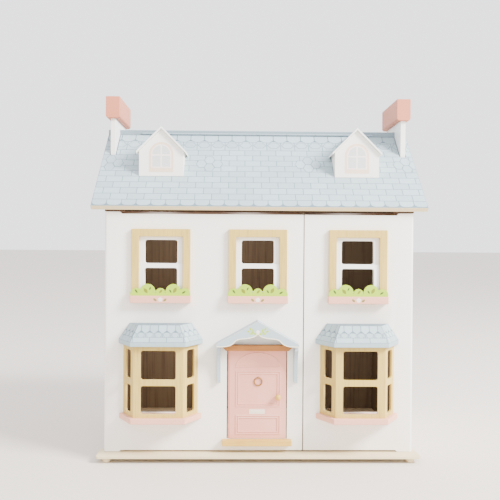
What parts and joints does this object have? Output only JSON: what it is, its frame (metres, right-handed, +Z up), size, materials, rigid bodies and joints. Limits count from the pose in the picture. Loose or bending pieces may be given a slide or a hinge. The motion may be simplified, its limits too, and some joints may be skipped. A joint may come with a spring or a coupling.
{
  "type": "wooden dollhouse",
  "caption": "Two-storey wooden dollhouse with an attic, hinged front panels, bay and sash windows, a canopied front door and a front roof that lifts at the ridge.",
  "frame": {"origin": "centre of the bounding box at the surface that the feet stand on", "axes": "+Z up, +X to the right and +Y to the back of someone who faces the front door"},
  "size_m": [0.62, 0.4214, 0.692],
  "materials": {
    "white_paint": "satin white paint on board",
    "cream_paint": "satin cream paint on board",
    "pink_paint": "satin pale pink paint on board",
    "salmon_paint": "satin salmon paint on board",
    "roof_print": "pale blue-grey board printed with slates",
    "ridge_paint": "blue-grey paint",
    "blue_paint": "pale blue-grey paint",
    "stained_wood": "light tan stain under clear lacquer",
    "bare_wood": "bare birch-faced board",
    "leaf_paint": "printed leaf green on thin board",
    "steel": "plain steel pins"
  },
  "bodies": {
    "carcass": {"base_board": "cream_paint", "foot_front_left": "cream_paint", "foot_front_right": "cream_paint", "foot_rear_left": "cream_paint", "foot_rear_right": "cream_paint", "side_wall_left": "white_paint", "side_wall_right": "white_paint", "back_panel": "white_paint", "middle_floor": "bare_wood", "attic_floor": "bare_wood", "lower_partition": "bare_wood", "upper_partition": "bare_wood", "staircase": "bare_wood", "lower_pivot_pin_left": "steel", "lower_pivot_pin_right": "steel", "upper_pivot_pin_left": "steel", "upper_pivot_pin_right": "steel", "roof_rear": "roof_print", "ridge_beam": "ridge_paint", "chimney_stack_left": "white_paint", "chimney_stack_right": "white_paint", "chimney_cap_left": "salmon_paint", "chimney_cap_right": "salmon_paint", "ridge_hinge_fixed_leaf": "ridge_paint", "ridge_hinge_pin": "steel"},
    "roof_front": {"roof_front": "roof_print", "ridge_hinge_moving_leaf": "ridge_paint", "dormer_body_left": "white_paint", "dormer_roof_left": "blue_paint", "dormer_body_right": "white_paint", "dormer_roof_right": "blue_paint"},
    "front_left": {"front_panel_left": "white_paint", "window_frame_left": "stained_wood", "planter_left": "pink_paint", "foliage_left": "leaf_paint", "window_frame_middle": "stained_wood", "planter_middle": "pink_paint", "foliage_middle": "leaf_paint", "bay_frame_left": "stained_wood", "bay_sill_left": "pink_paint", "bay_roof_left": "roof_print", "door_hinge_pin": "steel", "door_step": "stained_wood", "door_lintel": "stained_wood", "canopy_roof": "blue_paint", "canopy_gable": "blue_paint", "canopy_bracket_left": "white_paint", "canopy_bracket_right": "white_paint"},
    "front_right": {"front_panel_right": "white_paint", "window_frame_right": "stained_wood", "planter_right": "pink_paint", "foliage_right": "leaf_paint", "bay_frame_right": "stained_wood", "bay_sill_right": "pink_paint", "bay_roof_right": "roof_print"},
    "front_door": {"front_door": "pink_paint", "door_knob": "stained_wood"},
    "sash_left": {"sash_left": "white_paint"},
    "sash_middle": {"sash_middle": "white_paint"},
    "sash_right": {"sash_right": "white_paint"}
  },
  "joints": [
    {"name": "front_left_hinge", "type": "hinge", "parent": "carcass", "child": "front_left", "pos_m": [-0.2815, -0.15725, 0.23], "axis": [0, 0, -1], "range_deg": [0, 170]},
    {"name": "front_right_hinge", "type": "hinge", "parent": "carcass", "child": "front_right", "pos_m": [0.2815, -0.15725, 0.23], "axis": [0, 0, 1], "range_deg": [0, 170]},
    {"name": "front_door_hinge", "type": "hinge", "parent": "front_left", "child": "front_door", "pos_m": [-0.053, -0.15725, 0.12], "axis": [0, 0, -1], "range_deg": [0, 100]},
    {"name": "roof_lift", "type": "hinge", "parent": "carcass", "child": "roof_front", "pos_m": [0, 0.00495, 0.62696], "axis": [-1, 0, 0], "range_deg": [0, 55]},
    {"name": "sash_left_slide", "type": "slide", "parent": "front_left", "child": "sash_left", "axis": [0, 0, 1], "range_m": [0, 0.048]},
    {"name": "sash_middle_slide", "type": "slide", "parent": "front_left", "child": "sash_middle", "axis": [0, 0, 1], "range_m": [0, 0.048]},
    {"name": "sash_right_slide", "type": "slide", "parent": "front_right", "child": "sash_right", "axis": [0, 0, 1], "range_m": [0, 0.048]}
  ]
}
